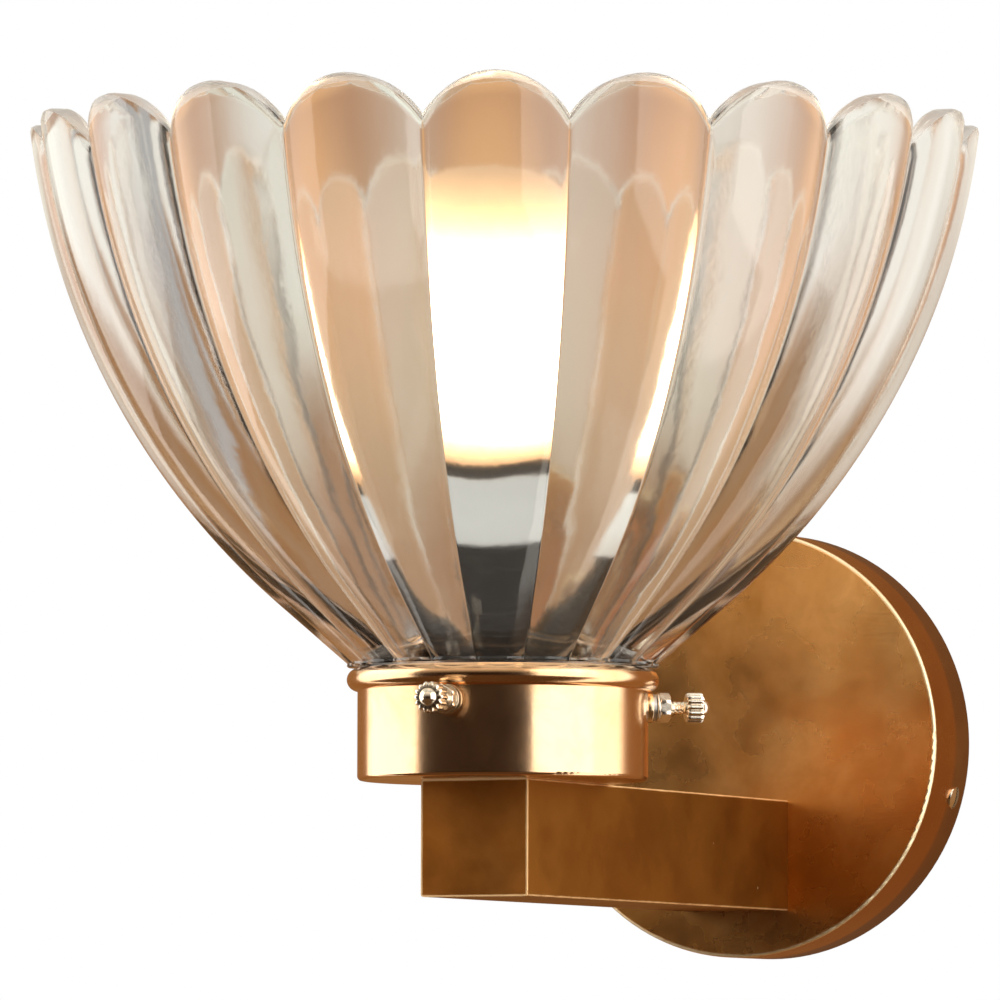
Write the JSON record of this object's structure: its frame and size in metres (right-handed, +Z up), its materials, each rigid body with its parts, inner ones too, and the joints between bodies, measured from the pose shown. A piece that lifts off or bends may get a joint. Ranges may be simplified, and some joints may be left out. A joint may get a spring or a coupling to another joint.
{
  "type": "wall sconce",
  "caption": "Wall sconce with a fluted, scalloped clear glass bowl in a beaded round fitter on a square arm, over a round canopy and a slotted wall bracket.",
  "frame": {"origin": "centre of the wall bracket's fixing slots and of the canopy, on the wall plane", "axes": "+Y into the wall, +Z up along the shade's axis, +X to the right when facing the wall"},
  "size_m": [0.2034, 0.2467, 0.1763],
  "materials": {
    "aged_brass": "aged, mottled orange-brown patina, worn bright at the edge",
    "dark_brass": "aged, darker brown patina, satin",
    "satin_brass": "satin, smooth, slightly aged",
    "bright_brass": "plain machined",
    "nickel_brass": "bright, pale, polished",
    "zinc_steel": "zinc plated",
    "black_plastic": "gloss black",
    "white_ceramic": "glazed white ceramic",
    "white_plastic": "matt white",
    "bulb_metal": "bright",
    "bulb_housing": "polished",
    "black_glass": "black, glossy",
    "frosted_glass": "frosted, lit warm white",
    "clear_glass": "clear pressed glass, thick"
  },
  "bodies": {
    "fixture": {"canopy": "aged_brass", "wall_bracket": "zinc_steel", "earth_washer": "zinc_steel", "earth_screw": "zinc_steel", "terminal_block": "white_plastic", "terminal_barrels": "bright_brass", "terminal_screws": "zinc_steel", "terminal_fixing_screw": "zinc_steel", "arm_tube": "dark_brass", "arm_rear_plug": "bright_brass", "arm_front_cap": "dark_brass", "arm_screw_washers": "zinc_steel", "arm_screws": "zinc_steel", "cable_bush": "white_plastic", "stem": "bright_brass", "stem_washer": "zinc_steel", "stem_lower_nut": "bright_brass", "fitter_cup": "satin_brass", "stem_upper_nut": "bright_brass", "screw_inserts": "bright_brass", "spring_washers": "nickel_brass", "plain_washers": "nickel_brass", "holder_cap": "black_plastic", "holder_body": "black_plastic", "holder_core": "white_ceramic", "screw_shell": "bright_brass", "centre_contact": "bright_brass"},
    "shade": {"glass_shade": "clear_glass"},
    "bulb": {"bulb_contact": "bright_brass", "bulb_insulator": "black_glass", "bulb_cap": "bulb_metal", "bulb_collar": "bulb_housing", "bulb_glass": "frosted_glass"},
    "thumb_screw_1": {"thumb_screw_1": "nickel_brass"},
    "lock_nut_1": {"lock_nut_1": "nickel_brass"},
    "thumb_screw_2": {"thumb_screw_2": "nickel_brass"},
    "lock_nut_2": {"lock_nut_2": "nickel_brass"},
    "thumb_screw_3": {"thumb_screw_3": "nickel_brass"},
    "lock_nut_3": {"lock_nut_3": "nickel_brass"},
    "canopy_screw_right": {"canopy_screw_right": "nickel_brass"},
    "canopy_screw_left": {"canopy_screw_left": "nickel_brass"}
  },
  "joints": [
    {"name": "shade_lift", "type": "slide", "parent": "fixture", "child": "shade", "axis": [0, 0, 1], "range_m": [0, 0.13]},
    {"name": "bulb_lift", "type": "slide", "parent": "fixture", "child": "bulb", "axis": [0, 0, 1], "range_m": [0, 0.028]},
    {"name": "thumb_screw_1_out", "type": "slide", "parent": "fixture", "child": "thumb_screw_1", "axis": [0.0698, -0.9976, 0], "range_m": [0, 0.0035]},
    {"name": "lock_nut_1_out", "type": "slide", "parent": "thumb_screw_1", "child": "lock_nut_1", "axis": [0.0698, -0.9976, 0], "range_m": [0, 0.003]},
    {"name": "thumb_screw_2_out", "type": "slide", "parent": "fixture", "child": "thumb_screw_2", "axis": [0.829, 0.5592, 0], "range_m": [0, 0.0035]},
    {"name": "lock_nut_2_out", "type": "slide", "parent": "thumb_screw_2", "child": "lock_nut_2", "axis": [0.829, 0.5592, 0], "range_m": [0, 0.003]},
    {"name": "thumb_screw_3_out", "type": "slide", "parent": "fixture", "child": "thumb_screw_3", "axis": [-0.8988, 0.4384, 0], "range_m": [0, 0.0035]},
    {"name": "lock_nut_3_out", "type": "slide", "parent": "thumb_screw_3", "child": "lock_nut_3", "axis": [-0.8988, 0.4384, 0], "range_m": [0, 0.003]},
    {"name": "canopy_screw_right_out", "type": "slide", "parent": "fixture", "child": "canopy_screw_right", "axis": [0.9694, 0, -0.2453], "range_m": [0, 0.006]},
    {"name": "canopy_screw_left_out", "type": "slide", "parent": "fixture", "child": "canopy_screw_left", "axis": [-0.9694, 0, 0.2453], "range_m": [0, 0.006]}
  ]
}
